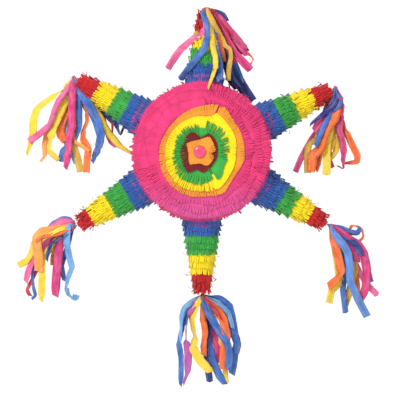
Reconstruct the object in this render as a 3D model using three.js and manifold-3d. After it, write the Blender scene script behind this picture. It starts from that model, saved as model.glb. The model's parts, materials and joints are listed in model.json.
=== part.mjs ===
// Six-pointed star pinata. A flat cardboard drum carries a bullseye of crepe fringe on its front,
// a fill flap in its back and six cones round its rim; crepe streamers hang from every cone tip.
// Millimetres, +Z up, front towards -Y. The origin is the point where the hang loop bears on its
// hook or rope; DRUM_CENTRE places the drum below it.
import * as THREE from "three";
import { mergeVertices } from "three/addons/utils/BufferGeometryUtils.js";
import Module from "manifold-3d";

const wasm = await Module();
wasm.setup();

const GAP = 0.3; // between pieces that touch

// drum
const DRUM_CENTRE = new THREE.Vector3(0, -24, -204);
const DRUM_RADIUS = 110;
const DRUM_DEPTH = 96;
const BOARD = 3;
const DRUM_SIDES = 40;
const FACE_Y = DRUM_DEPTH / 2; // outer faces lie at +-FACE_Y from the drum's middle plane

// crepe fringe on the drum
const RIM_FRINGE = 7;
const FACE_FRINGE = 5.5;
const FACE_FRINGE_RADIUS = 111;
const ORANGE_RADIUS = 75;
const YELLOW_RADIUS = 61;
const GREEN_RADIUS = 51;
const RED_RADIUS = 34;
const PETALS_RADIUS = 24;
const CENTRE_DISC_RADIUS = 11.5;

// fill opening in the back, with its flap hinged on the upper crease
const FILL_WIDTH = 80;
const FILL_HEIGHT = 54;
const FLAP_CLEARANCE = 0.5;
const FLAP_FRINGE_INSET = 8;
const BACK_FRINGE_SPLIT = 62;
const BACK_FRINGE_SIDE_CLEARANCE = 2;
const BACK_FRINGE_CREASE_CLEARANCE = 10;

// cones
const CONE_SIDES = 16;
const CONE_BASE_RADIUS = 30;
const CONE_TIP_RADIUS = 8.5;
const CONE_TIP_AT = 234; // from the drum's axis
const CONE_WALL = 1.6;
const CONE_ROOT = 15; // the cones are cut to the rim from this far inside it
const BAND_FRINGE = 3.6;
const BAND_ENDS = [149, 181, 213]; // where blue, green and yellow end, from the drum's axis
const BAND_SPACING = 0.4;
const BAND_OVERHANG = 1.5; // the last band runs this far past the tip
const NOSE_RADIUS = 4;
const SEAT_RADIUS = CONE_BASE_RADIUS + 1.5; // hole in the rim fringe round the foot of a cone

// streamers
const TIE_RADIUS = 6;
const SIDE_PIVOT_AT = 252;
const BOTTOM_PIVOT_AT = 246;
const KNOT_RADIUS = 5.5;
const STREAMER_SIDES = 12;

// hang loop
const WIRE_RADIUS = 1.2;
const LOOP_HOLE_RADIUS = 2.4;
const LOOP_HALF_WIDTH = 15;
const LOOP_LEG_Y = 40;

const CREPE = {
  pink: 0xef4b8b,
  orange: 0xf9a13a,
  yellow: 0xffe11f,
  green: 0x3fae49,
  darkRed: 0x8c1a1e,
  red: 0xd42a2c,
  blue: 0x3f69b5,
  magenta: 0xe2508f,
};

const group = new THREE.Group();
group.name = "pinata";

function add(name, geometry, color, roughness = 0.9, metalness = 0) {
  geometry.translate(DRUM_CENTRE.x, DRUM_CENTRE.y, DRUM_CENTRE.z);
  const mesh = new THREE.Mesh(
    geometry,
    new THREE.MeshStandardMaterial({ color, roughness, metalness }),
  );
  mesh.name = name;
  group.add(mesh);
}

// --- solids -----------------------------------------------------------------------------------

function positionOnly(geometry) {
  const bare = geometry.index ? geometry.clone() : geometry;
  for (const attribute of Object.keys(bare.attributes)) {
    if (attribute !== "position") bare.deleteAttribute(attribute);
  }
  return mergeVertices(bare, 1e-4);
}

function toManifold(geometry) {
  const merged = positionOnly(geometry);
  return new wasm.Manifold(
    new wasm.Mesh({
      numProp: 3,
      vertProperties: new Float32Array(merged.attributes.position.array),
      triVerts: new Uint32Array(merged.index.array),
    }),
  );
}

function toGeometry(manifold) {
  const mesh = manifold.getMesh();
  const geometry = new THREE.BufferGeometry();
  geometry.setAttribute("position", new THREE.BufferAttribute(mesh.vertProperties, 3));
  geometry.setIndex(new THREE.BufferAttribute(mesh.triVerts, 1));
  return geometry;
}

// Turns a profile of [radius, y] pairs round the Y axis.
function turned(profile, sides) {
  return new THREE.LatheGeometry(
    profile.map(([radius, y]) => new THREE.Vector2(radius, y)),
    sides,
  );
}

function ring(innerRadius, outerRadius, y0, y1, sides = DRUM_SIDES) {
  return turned(
    [
      [innerRadius, y0],
      [outerRadius, y0],
      [outerRadius, y1],
      [innerRadius, y1],
      [innerRadius, y0],
    ],
    sides,
  );
}

function disc(radius, y0, y1, sides = DRUM_SIDES) {
  return turned(
    [
      [0, y0],
      [radius, y0],
      [radius, y1],
      [0, y1],
    ],
    sides,
  );
}

function box(x0, x1, y0, y1, z0, z1) {
  const geometry = new THREE.BoxGeometry(x1 - x0, y1 - y0, z1 - z0);
  geometry.translate((x0 + x1) / 2, (y0 + y1) / 2, (z0 + z1) / 2);
  return geometry;
}

// Lays a shape turned round +Y along the direction at `degrees` in the XZ plane.
function alongRim(geometry, degrees) {
  geometry.rotateX(Math.PI / 2);
  geometry.rotateY(THREE.MathUtils.degToRad(90 - degrees));
  return geometry;
}

// --- drum -------------------------------------------------------------------------------------

function buildDrum() {
  const loopHoles = [-1, 1].map((side) => {
    const hole = new THREE.CylinderGeometry(LOOP_HOLE_RADIUS, LOOP_HOLE_RADIUS, 40, 10);
    hole.rotateX(Math.PI / 2);
    hole.translate(side * LOOP_HALF_WIDTH, LOOP_LEG_Y, DRUM_RADIUS);
    return toManifold(hole);
  });

  add("front_panel", disc(DRUM_RADIUS, -FACE_Y, -FACE_Y + BOARD), 0xc9a26b);

  const fillHole = toManifold(
    box(-FILL_WIDTH / 2, FILL_WIDTH / 2, 0, FACE_Y + 10, -FILL_HEIGHT / 2, FILL_HEIGHT / 2),
  );
  const back = toManifold(disc(DRUM_RADIUS, FACE_Y - BOARD, FACE_Y)).subtract(fillHole);
  add("back_panel", toGeometry(back), 0xc9a26b);

  const bandHalf = FACE_Y - BOARD - GAP;
  let band = toManifold(ring(DRUM_RADIUS - BOARD, DRUM_RADIUS, -bandHalf, bandHalf));
  let rim = toManifold(ring(DRUM_RADIUS + GAP, DRUM_RADIUS + RIM_FRINGE, -FACE_Y, FACE_Y));
  for (const hole of loopHoles) {
    band = band.subtract(hole);
    rim = rim.subtract(hole);
  }
  for (const cone of CONES) {
    const seat = disc(SEAT_RADIUS, DRUM_RADIUS - 10, DRUM_RADIUS + 20, CONE_SIDES);
    rim = rim.subtract(toManifold(alongRim(seat, cone.degrees)));
  }
  add("rim_band", toGeometry(band), 0xc9a26b);
  add("rim_fringe", toGeometry(rim), CREPE.pink);

  const flapWidth = FILL_WIDTH / 2 - FLAP_CLEARANCE;
  const flapHeight = FILL_HEIGHT / 2 - FLAP_CLEARANCE;
  add("fill_flap", box(-flapWidth, flapWidth, FACE_Y - BOARD, FACE_Y, -flapHeight, flapHeight), 0xc9a26b);
  add(
    "flap_fringe",
    box(
      -flapWidth,
      flapWidth,
      FACE_Y + GAP,
      FACE_Y + FACE_FRINGE,
      -flapHeight,
      FILL_HEIGHT / 2 - FLAP_FRINGE_INSET,
    ),
    CREPE.pink,
  );
}

function buildFaces() {
  const front = [
    ["front_pink", ORANGE_RADIUS + GAP, FACE_FRINGE_RADIUS, FACE_FRINGE, CREPE.pink],
    ["front_ring_orange", YELLOW_RADIUS + GAP, ORANGE_RADIUS, 6, CREPE.orange],
    ["front_ring_yellow", GREEN_RADIUS + GAP, YELLOW_RADIUS, 6.5, CREPE.yellow],
    ["front_ring_green", RED_RADIUS + GAP, GREEN_RADIUS, 7, CREPE.green],
    ["front_ring_red", PETALS_RADIUS + GAP, RED_RADIUS, 7.5, CREPE.darkRed],
    ["front_petals", CENTRE_DISC_RADIUS + GAP, PETALS_RADIUS, 8, CREPE.orange],
  ];
  for (const [name, inner, outer, depth, color] of front) {
    add(name, ring(inner, outer, -FACE_Y - depth, -FACE_Y - GAP), color);
  }
  add(
    "front_centre_disc",
    turned(
      [
        [0, -FACE_Y - 10],
        [CENTRE_DISC_RADIUS - 3, -FACE_Y - 9],
        [CENTRE_DISC_RADIUS, -FACE_Y - 6],
        [CENTRE_DISC_RADIUS, -FACE_Y - GAP],
        [0, -FACE_Y - GAP],
      ],
      CONE_SIDES,
    ),
    0xe93a72,
    0.35,
  );

  const backY = [FACE_Y + GAP, FACE_Y + FACE_FRINGE];
  add("back_pink_outer", ring(BACK_FRINGE_SPLIT + GAP, FACE_FRINGE_RADIUS, ...backY), CREPE.pink);
  const cut = box(
    -FILL_WIDTH / 2 - BACK_FRINGE_SIDE_CLEARANCE,
    FILL_WIDTH / 2 + BACK_FRINGE_SIDE_CLEARANCE,
    FACE_Y - 10,
    FACE_Y + 20,
    -FILL_HEIGHT / 2 - BACK_FRINGE_SIDE_CLEARANCE,
    FILL_HEIGHT / 2 + BACK_FRINGE_CREASE_CLEARANCE,
  );
  const inner = toManifold(disc(BACK_FRINGE_SPLIT, ...backY)).subtract(toManifold(cut));
  add("back_pink_inner", toGeometry(inner), CREPE.pink);
}

// --- cones ------------------------------------------------------------------------------------

// The cones are glued on by eye, so they stand a few degrees off an even star. A nose of twisted
// crepe reaches from each tip to just short of its tassel's pivot.
const CONES = [
  { name: "top", degrees: 88, pivotAt: null },
  { name: "upper_right", degrees: 25.5, pivotAt: SIDE_PIVOT_AT },
  { name: "lower_right", degrees: -30, pivotAt: SIDE_PIVOT_AT },
  { name: "bottom", degrees: -90, pivotAt: BOTTOM_PIVOT_AT },
  { name: "lower_left", degrees: 210.5, pivotAt: SIDE_PIVOT_AT },
  { name: "upper_left", degrees: 150, pivotAt: SIDE_PIVOT_AT },
];

function coneRadius(at) {
  const slope = (CONE_TIP_RADIUS - CONE_BASE_RADIUS) / (CONE_TIP_AT - DRUM_RADIUS);
  return CONE_BASE_RADIUS + slope * (at - DRUM_RADIUS);
}

function coneShell(pivotAt) {
  const rootAt = DRUM_RADIUS - CONE_ROOT;
  const outerProfile = [
    [0, rootAt],
    [coneRadius(rootAt), rootAt],
    [CONE_TIP_RADIUS, CONE_TIP_AT],
  ];
  if (pivotAt) {
    const noseEnd = pivotAt - TIE_RADIUS - GAP;
    outerProfile.push([NOSE_RADIUS, CONE_TIP_AT], [NOSE_RADIUS, noseEnd], [0, noseEnd]);
  } else {
    outerProfile.push([0, CONE_TIP_AT]);
  }
  const hollow = turned(
    [
      [0, rootAt - 1],
      [coneRadius(rootAt - 1) - CONE_WALL, rootAt - 1],
      [CONE_TIP_RADIUS - CONE_WALL, CONE_TIP_AT - CONE_WALL],
      [0, CONE_TIP_AT - CONE_WALL],
    ],
    CONE_SIDES,
  );
  return toManifold(turned(outerProfile, CONE_SIDES)).subtract(toManifold(hollow));
}

function band(from, to) {
  const skin = (at) => coneRadius(at) + GAP;
  return turned(
    [
      [skin(from), from],
      [skin(from) + BAND_FRINGE, from],
      [skin(to) + BAND_FRINGE, to],
      [skin(to), to],
      [skin(from), from],
    ],
    CONE_SIDES,
  );
}

function buildCones() {
  const drum = toManifold(disc(DRUM_RADIUS + GAP, -FACE_Y, FACE_Y));
  const drumWithFringe = toManifold(disc(DRUM_RADIUS + RIM_FRINGE + GAP, -FACE_Y, FACE_Y));
  for (const cone of CONES) {
    const shell = alongRim(toGeometry(coneShell(cone.pivotAt)), cone.degrees);
    add(`cone_${cone.name}`, toGeometry(toManifold(shell).subtract(drum)), 0xd8c9a8);

    const ends = [DRUM_RADIUS, ...BAND_ENDS, CONE_TIP_AT + BAND_OVERHANG];
    for (const [i, color] of ["blue", "green", "yellow", "red"].entries()) {
      const from = ends[i] + (i === 0 ? 0 : BAND_SPACING);
      const sleeve = alongRim(band(from, ends[i + 1]), cone.degrees);
      const solid = i === 0 ? toGeometry(toManifold(sleeve).subtract(drumWithFringe)) : sleeve;
      add(`${color}_band_${cone.name}`, solid, CREPE[color]);
    }
  }
}

// --- streamers --------------------------------------------------------------------------------

// A bunch of streamers as one solid, through oval sections [drop, shiftX, shiftY, halfX, halfY]
// that are measured from `from`.
function bunch(from, sections) {
  const drops = sections.map(([drop]) => drop);
  const geometry = turned(
    [[0, -drops[0]], ...drops.map((drop) => [1, -drop]), [0, -drops[drops.length - 1]]].reverse(),
    STREAMER_SIDES,
  );
  const position = geometry.attributes.position;
  for (let i = 0; i < position.count; i++) {
    const section = sections[drops.findIndex((drop) => Math.abs(drop + position.getY(i)) < 1e-6)];
    const [drop, shiftX, shiftY, halfX, halfY] = section;
    position.setXYZ(
      i,
      from.x + shiftX + halfX * position.getX(i),
      from.y + shiftY + halfY * position.getZ(i) * -1,
      from.z - drop,
    );
  }
  return geometry;
}

function centreOfVolume(geometry) {
  const { index, attributes } = positionOnly(geometry);
  const centre = new THREE.Vector3();
  const [a, b, c] = [0, 1, 2].map(() => new THREE.Vector3());
  let total = 0;
  for (let i = 0; i < index.count; i += 3) {
    a.fromBufferAttribute(attributes.position, index.getX(i));
    b.fromBufferAttribute(attributes.position, index.getX(i + 1));
    c.fromBufferAttribute(attributes.position, index.getX(i + 2));
    const volume = a.dot(b.clone().cross(c)) / 6;
    total += volume;
    centre.addScaledVector(a.clone().add(b).add(c), volume / 4);
  }
  return centre.divideScalar(total);
}

// Leans a bunch until its weight lies straight below the pivot it hangs from.
function hungFrom(pivot, geometry) {
  const centre = centreOfVolume(geometry);
  const lean = (pivot.x - centre.x) / (pivot.z - centre.z);
  const position = geometry.attributes.position;
  for (let i = 0; i < position.count; i++) {
    position.setX(i, position.getX(i) + lean * (pivot.z - position.getZ(i)));
  }
  return geometry;
}

const TASSELS = {
  upper_right: {
    color: CREPE.orange,
    sections: [
      [9, 0, 0, 4, 4],
      [28, 0, 0, 8, 8],
      [55, 0, 0, 24, 16],
      [105, 0, 0, 44, 20],
      [145, 0, 0, 52, 18],
      [172, 0, 0, 30, 12],
    ],
  },
  lower_right: {
    color: CREPE.blue,
    sections: [
      [7, 0, 0, 5, 5],
      [25, -2, 0, 12, 12],
      [55, 0, 0, 38, 18],
      [85, 20, 0, 68, 20],
      [115, -4, 0, 46, 18],
      [154, -14, 0, 22, 10],
    ],
  },
  bottom: {
    color: CREPE.magenta,
    sections: [
      [7, 0, 0, 5, 5],
      [30, 0, 0, 20, 14],
      [70, 2, 0, 40, 22],
      [112, 4, 0, 54, 24],
      [144, 2, 0, 34, 14],
    ],
  },
  lower_left: {
    color: CREPE.magenta,
    sections: [
      [7, 0, 0, 5, 5],
      [25, 4, 0, 12, 12],
      [48, 2, 0, 36, 18],
      [74, -24, 0, 74, 20],
      [96, 10, 0, 40, 18],
      [124, 16, 0, 24, 10],
    ],
  },
  upper_left: {
    color: CREPE.yellow,
    sections: [
      [9, 0, 0, 4, 4],
      [28, 0, 0, 8, 8],
      [60, 0, 0, 26, 16],
      [110, 0, 0, 58, 20],
      [148, 0, 0, 78, 18],
      [171, 0, 0, 46, 10],
    ],
  },
};

// Streamers that lie against the top cone, each from its own point beside the knot.
const STRANDS = {
  front: {
    from: new THREE.Vector3(10, -15, 238),
    color: CREPE.yellow,
    sections: [
      [3, 0, -1, 6, 2.5],
      [40, 2, -17, 16, 3],
      [90, 4, -34, 19, 4],
      [134, 2, -50, 14, 3],
    ],
  },
  left: {
    from: new THREE.Vector3(-6, -4, 238),
    color: CREPE.magenta,
    sections: [
      [3, -1, 0, 2.5, 5],
      [40, -12, -2, 4, 12],
      [80, -27, -4, 5, 13],
      [118, -50, -4, 4, 9],
    ],
  },
  right: {
    from: new THREE.Vector3(22, 4, 238),
    color: CREPE.magenta,
    sections: [
      [3, 1, 0, 2.5, 5],
      [36, 14, 0, 7, 14],
      [76, 38, 4, 12, 20],
      [112, 66, 4, 7, 12],
    ],
  },
};

function onAxis({ degrees }, at) {
  const turn = THREE.MathUtils.degToRad(degrees);
  return new THREE.Vector3(at * Math.cos(turn), 0, at * Math.sin(turn));
}

function buildStreamers() {
  for (const cone of CONES.filter(({ pivotAt }) => pivotAt)) {
    const pivot = onAxis(cone, cone.pivotAt);
    const tie = new THREE.SphereGeometry(TIE_RADIUS, 12, 8);
    tie.translate(pivot.x, pivot.y, pivot.z);
    add(`tie_${cone.name}`, tie, CREPE.magenta);
    const { color, sections } = TASSELS[cone.name];
    add(`tassel_${cone.name}`, hungFrom(pivot, bunch(pivot, sections)), color);
  }
  for (const [name, { from, color, sections }] of Object.entries(STRANDS)) {
    add(`strand_${name}`, bunch(from, sections), color);
  }
  const knot = new THREE.SphereGeometry(KNOT_RADIUS, 12, 8);
  const { x, y, z } = onAxis(CONES[0], CONE_TIP_AT + BAND_OVERHANG + GAP + KNOT_RADIUS);
  knot.translate(x, y, z);
  add("top_knot", knot, CREPE.magenta);
}

// --- hang loop --------------------------------------------------------------------------------

function buildHangLoop() {
  const hook = DRUM_CENTRE.clone().negate(); // the bearing point, from the drum's centre
  const half = [
    [-27, LOOP_LEG_Y, 100.4],
    [-19, LOOP_LEG_Y, 100.6],
    [-LOOP_HALF_WIDTH - 0.6, LOOP_LEG_Y, 102.4],
    [-LOOP_HALF_WIDTH, LOOP_LEG_Y, 106],
    [-LOOP_HALF_WIDTH, LOOP_LEG_Y, 112],
    [-LOOP_HALF_WIDTH, LOOP_LEG_Y, 120],
    [-13.5, 35, 145],
    [-11.5, 30, 172],
    [-8, 26, 195],
  ].map(([x, y, z]) => new THREE.Vector3(x, y, z));
  const apex = new THREE.Vector3(0, hook.y, hook.z + WIRE_RADIUS);
  const mirrored = half.map(({ x, y, z }) => new THREE.Vector3(-x, y, z)).reverse();
  const path = new THREE.CatmullRomCurve3([...half, apex, ...mirrored], false, "centripetal");
  const section = new THREE.Shape();
  section.absarc(0, 0, WIRE_RADIUS, 0, 2 * Math.PI);
  const wire = new THREE.ExtrudeGeometry(section, {
    steps: 44,
    curveSegments: 4,
    extrudePath: path,
  });
  add("hang_loop", wire, 0x9aa0a6, 0.35, 1);
}

buildDrum();
buildFaces();
buildCones();
buildStreamers();
buildHangLoop();

export default group;
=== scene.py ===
import json
import math
import random

import bpy
from mathutils import Matrix, Vector


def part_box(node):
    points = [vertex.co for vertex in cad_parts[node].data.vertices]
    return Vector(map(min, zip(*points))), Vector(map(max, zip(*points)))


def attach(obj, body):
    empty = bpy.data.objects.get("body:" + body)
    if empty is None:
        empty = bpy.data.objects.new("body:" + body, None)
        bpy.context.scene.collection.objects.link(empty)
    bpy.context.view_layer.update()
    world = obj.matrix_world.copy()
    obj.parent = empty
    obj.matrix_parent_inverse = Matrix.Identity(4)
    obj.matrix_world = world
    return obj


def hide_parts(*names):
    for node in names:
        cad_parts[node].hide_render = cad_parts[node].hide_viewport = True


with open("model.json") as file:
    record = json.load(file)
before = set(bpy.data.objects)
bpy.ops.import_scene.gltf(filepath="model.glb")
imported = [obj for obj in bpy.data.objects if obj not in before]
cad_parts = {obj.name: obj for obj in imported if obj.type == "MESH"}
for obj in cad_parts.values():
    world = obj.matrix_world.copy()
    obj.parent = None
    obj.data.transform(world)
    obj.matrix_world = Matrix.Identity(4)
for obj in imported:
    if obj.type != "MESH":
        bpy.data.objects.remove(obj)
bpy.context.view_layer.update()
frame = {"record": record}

# Everything below is laid out in millimetres round the drum's centre (x right, y back, z up)
# and is written to the meshes in metres.
MM = 0.001
low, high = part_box("rim_band")
DRUM = (Vector(low) + Vector(high)) / 2
PIVOTS = {j["child"]: (Vector(j["pos_m"]) - DRUM) / MM
          for j in frame["record"]["behaviour"]["joints"]}

# drum and cones
FACE_Y = 48.0
RIM_R = 110.0
CONES = {"top": 88.0, "upper_right": 25.5, "lower_right": -30.0, "bottom": -90.0,
         "lower_left": 210.5, "upper_left": 150.0}
CONE_FOOT_R, CONE_TIP_R, CONE_TIP_AT = 30.0, 8.5, 234.0


# ---------------------------------------------------------------- materials
# Colours are given as they look under the key light, and paper gives back this much of them.
PAPER = 0.74


def colour(r, g, b):
    def linear(c):
        c /= 255.0
        return c / 12.92 if c <= 0.04045 else ((c + 0.055) / 1.055) ** 2.4
    return (linear(r), linear(g), linear(b), 1.0)


def scaled(c, k):
    return tuple(min(1.0, v * k) for v in c[:3]) + (1.0,)


class Finish:
    """A material being built round its Principled shader."""

    def __init__(self, name):
        self.material = bpy.data.materials.new(name)
        self.material.use_nodes = True
        self.nodes = self.material.node_tree.nodes
        self.shader = self.nodes["Principled BSDF"]

    def link(self, output, socket):
        self.material.node_tree.links.new(output, socket)

    def feed(self, node, inputs):
        """Inputs, named with _ for a space, take values or other nodes' outputs."""
        for name, value in inputs.items():
            socket = node.inputs[name.replace("_", " ")]
            if isinstance(value, bpy.types.NodeSocket):
                self.link(value, socket)
            else:
                socket.default_value = value

    def node(self, kind, settings=None, **inputs):
        made = self.nodes.new(kind)
        for name, value in (settings or {}).items():
            setattr(made, name, value)
        self.feed(made, inputs)
        return made

    def surface(self, **inputs):
        self.feed(self.shader, inputs)
        return self.material

    def place(self):
        return self.node("ShaderNodeTexCoord").outputs["Object"]

    def noise(self, where, scale, detail=3.0, rough=0.5):
        made = self.node("ShaderNodeTexNoise", Vector=where, Scale=scale, Detail=detail, Roughness=rough)
        return made.outputs["Fac"]

    def drawn_out(self, where, scale):
        return self.node("ShaderNodeMapping", Vector=where, Scale=scale).outputs["Vector"]

    def ramp(self, value, low, high, start=0.0, stop=1.0):
        made = self.node("ShaderNodeValToRGB", Fac=value)
        for stop_at, shade, element in zip((start, stop), (low, high), made.color_ramp.elements):
            element.position = stop_at
            element.color = shade
        return made.outputs["Color"]

    def spread(self, value, low, high, to_low=0.0, to_high=1.0):
        made = self.node("ShaderNodeMapRange", Value=value, From_Min=low, From_Max=high, To_Min=to_low,
                         To_Max=to_high)
        return made.outputs["Result"]

    def mix(self, factor, a, b, blend="MIX"):
        made = self.node("ShaderNodeMix", {"data_type": "RGBA", "blend_type": blend}, Factor=factor, A=a, B=b)
        return made.outputs["Result"]

    def bump(self, height, strength, distance):
        made = self.node("ShaderNodeBump", Height=height, Strength=strength, Distance=distance)
        return made.outputs["Normal"]


def crepe(name, rgb, deep=0.62, rough=0.82, crinkle=0.5, grain=0.55, backlit_streaks=0.0, painted_sheen=None, sheen_heights=()):
    """Crepe paper: fine ridges across the strip and soft blotches of tone. Streaks are painted light,
    paler where light shows through a streamer stretched thin. A sheet may take a painted lilac sheen,
    full below the first of two heights and gone above the second, given in metres."""
    finish = Finish(name)
    base = scaled(colour(*rgb), PAPER)
    flat = finish.node("ShaderNodeUVMap", {"uv_map": "crepe"}).outputs["UV"]
    ridges = finish.noise(finish.drawn_out(flat, (1500.0, 130.0, 1.0)), 1.0, rough=0.6)
    place = finish.place()
    dyed = finish.ramp(finish.noise(place, 42.0, rough=0.55), scaled(base, deep + 0.16), scaled(base, 1.06),
                       0.30, 0.70)
    # painted light: paler streaks where light shows through crepe stretched thin
    if backlit_streaks:
        backlit_mask = finish.noise(finish.drawn_out(flat, (42.0, 190.0, 1.0)), 1.0, 2.0, 0.6)
        pale = tuple(v + (1 - v) * 0.3 for v in base[:3]) + (1.0,)
        dyed = finish.mix(finish.spread(backlit_mask, 0.44, 0.66, to_high=backlit_streaks), dyed, pale)
    # painted lilac sheen, blended in over the lower part of the sheet
    if painted_sheen:
        height = finish.node("ShaderNodeSeparateXYZ", Vector=place).outputs["Z"]
        dyed = finish.mix(finish.spread(height, *sheen_heights), scaled(colour(*painted_sheen), PAPER), dyed)
    fine = finish.ramp(ridges, (deep, deep, deep, 1), (1, 1, 1, 1), 0.25, 0.62)
    return finish.surface(Base_Color=finish.mix(grain, dyed, fine, "MULTIPLY"), Roughness=rough,
                          Normal=finish.bump(ridges, crinkle, 0.0006), Sheen_Weight=0.08,
                          Specular_IOR_Level=0.25)


def cardboard(name, rgb):
    """Board with flutes that just show through its liner."""
    finish = Finish(name)
    place = finish.place()
    flute = finish.node("ShaderNodeTexWave", Vector=place, Scale=60.0, Distortion=0.6).outputs["Fac"]
    fibre = finish.noise(place, 260.0, 4.0, 0.6)
    tone = finish.ramp(fibre, scaled(colour(*rgb), 0.72), scaled(colour(*rgb), 1.1))
    both = finish.node("ShaderNodeMath", {"operation": "ADD"})
    finish.link(flute, both.inputs[0])
    finish.link(fibre, both.inputs[1])
    return finish.surface(Base_Color=tone, Normal=finish.bump(both.outputs["Value"], 0.35, 0.0005),
                          Roughness=0.9)


def steel(name):
    finish = Finish(name)
    grime = finish.noise(finish.place(), 700.0)
    return finish.surface(Base_Color=finish.ramp(grime, (0.25, 0.26, 0.27, 1), (0.62, 0.63, 0.65, 1)),
                          Roughness=finish.spread(grime, 0.0, 1.0, 0.25, 0.5), Metallic=1.0)


def glossy_paper(name, rgb):
    finish = Finish(name)
    cloud = finish.noise(finish.place(), 90.0)
    tone = finish.ramp(cloud, scaled(colour(*rgb), 0.84 * PAPER), scaled(colour(*rgb), 1.1 * PAPER))
    return finish.surface(Base_Color=tone, Normal=finish.bump(cloud, 0.15, 0.0008), Roughness=0.28,
                          Coat_Weight=0.5, Coat_Roughness=0.12)


CREPE = {
    "pink": crepe("crepe_pink", (240, 62, 125)),
    # the front's pink takes a painted lilac sheen towards the bottom
    "front_pink": crepe("crepe_front_pink", (240, 60, 124), painted_sheen=(228, 92, 164),
                        sheen_heights=(DRUM.z - 0.118, DRUM.z - 0.045)),
    "orange": crepe("crepe_orange", (252, 160, 52)),
    "yellow": crepe("crepe_yellow", (255, 226, 20), deep=0.78),
    "green": crepe("crepe_green", (62, 176, 72)),
    "dark_red": crepe("crepe_dark_red", (122, 22, 26)),
    "red": crepe("crepe_red", (212, 34, 38)),
    "blue": crepe("crepe_blue", (54, 104, 188)),
    "collar_pink": crepe("crepe_collar_pink", (204, 62, 144)),
}
# a streamer's colour, how light its darkest parts stay, and the record's slot for its finish
STREAMERS = {
    "pink": ((238, 98, 156), 0.55, "streamer_magenta"),
    "magenta": ((222, 56, 128), 0.55, "streamer_magenta"),
    "violet": ((186, 80, 166), 0.55, "streamer_magenta"),
    "rose": ((204, 58, 118), 0.55, "streamer_magenta"),
    "orange": ((246, 112, 38), 0.6, "streamer_orange"),
    "apricot": ((252, 158, 66), 0.62, "streamer_orange"),
    "yellow": ((244, 206, 48), 0.68, "streamer_yellow"),
    "gold": ((220, 172, 48), 0.62, "streamer_yellow"),
    "blue": ((60, 108, 190), 0.5, "streamer_blue"),
    "cornflower": ((90, 138, 210), 0.55, "streamer_blue"),
    "sky_blue": ((108, 166, 222), 0.55, "streamer_blue"),
    # navy also stands for blue streamers in shade: painted shade on those behind the top cone
    "navy": ((34, 58, 138), 0.5, "streamer_blue"),
    "indigo": ((46, 48, 142), 0.5, "streamer_blue"),
    "red": ((196, 30, 44), 0.5, "streamer_magenta"),
}
# every streamer gets the painted backlit streaks
RIBBON = {tint: crepe(f"streamer_{tint}", rgb, deep, rough=0.5, crinkle=0.3, grain=0.3, backlit_streaks=0.22)
          for tint, (rgb, deep, _) in STREAMERS.items()}


# ---------------------------------------------------------------- pieces
def placed(name, data):
    made = bpy.data.objects.new(name, data)
    bpy.context.scene.collection.objects.link(made)
    return made


def mesh_piece(name, points, faces, material):
    """A smooth mesh of one material, from points in millimetres."""
    mesh = bpy.data.meshes.new(name)
    mesh.from_pydata([tuple(DRUM + Vector(p) * MM) for p in points], [], faces)
    mesh.polygons.foreach_set("use_smooth", [True] * len(mesh.polygons))
    mesh.materials.append(material)
    mesh.update()
    return placed(name, mesh)


def joined(piece, slot, body, node=None):
    """Says what a piece rides on and hides the part it stands for; slot is not used."""
    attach(piece, body)
    if node:
        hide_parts(node)


# ---------------------------------------------------------------- sheets of paper
SHEET = 0.22  # how thick the crepe of a glued strip is
SHORTEST_FINGER = 1.5
FINGER_STEPS = 5
FINGER_CUP = 0.3


class Paper:
    """A sheet of paper being built: points in millimetres, quads, a flat coordinate for each point,
    and the area and length of the strips in it."""

    def __init__(self):
        self.points, self.uvs, self.faces, self.area, self.length = [], [], [], 0.0, 0.0

    def add(self, point, u, v):
        self.points.append(point)
        self.uvs.append((u * MM, v * MM))
        return len(self.points) - 1

    def quad(self, a, b, c, d):
        self.faces.append((a, b, c, d))

    def build(self, name, material, slot, body, node=None, thick=SHEET):
        piece = mesh_piece(name, self.points, self.faces, material)
        layer = piece.data.uv_layers.new(name="crepe")
        for loop in piece.data.loops:
            layer.data[loop.index].uv = self.uvs[loop.vertex_index]
        solid = piece.modifiers.new("paper", "SOLIDIFY")
        solid.thickness = thick * MM
        solid.offset = 0.0
        joined(piece, slot, body, node)
        return piece

    def glue(self, name, tint, node=None, body="star"):
        """Builds a piece of glued strips."""
        slot = "crepe_pink" if "pink" in tint else f"crepe_{tint}"
        piece = self.build(name, CREPE[tint], slot, body, node)


def at_u(value, u):
    return value(u) if callable(value) else value


def fringe(paper, place, start, end, pitch, header, length, rng, loose=1.0, rise=0.12, lift=0.8,
           keep=None, **look):
    """One glued strip cut into fingers. place(u, t, height) puts a point at u along the strip,
    t from its glued edge and height off the surface; header, length and loose may be functions
    of u. keep(u) gives the share of a finger's length that is left, or None for no strip."""
    count = max(1, round((end - start) / pitch))
    step = (end - start) / count
    columns = []
    for j in range(2 * count + 1):
        u = start + step * j / 2
        head = at_u(header, u)
        ripple = 0.35 * math.sin(u * 0.31 + start) + 0.25 * math.sin(u * 0.83 + 1.7)
        columns.append([
            paper.add(place(u, head * r / 2, lift + rise * head * r / 2 + ripple * r / 2), u, head * r / 2)
            for r in range(3)])
    for i in range(count):
        u = start + step * (i + 0.5)
        share = 1.0 if keep is None else keep(u)
        if share is None:
            rng.random()  # a missing finger takes one draw too
            continue
        a, b, c = columns[2 * i: 2 * i + 3]
        for left, right in ((a, b), (b, c)):
            for r in range(2):
                paper.quad(left[r], right[r], right[r + 1], left[r + 1])
        free = at_u(loose, u)
        head = at_u(header, u)
        long = (at_u(length, u) - head) * share
        paper.length += step
        paper.area += step * (head + max(long, 0.0))
        if long >= SHORTEST_FINGER:
            finger(paper, place, u, step, head, long, (a[2], b[2], c[2]), rng, free, rise, lift, **look)


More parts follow.
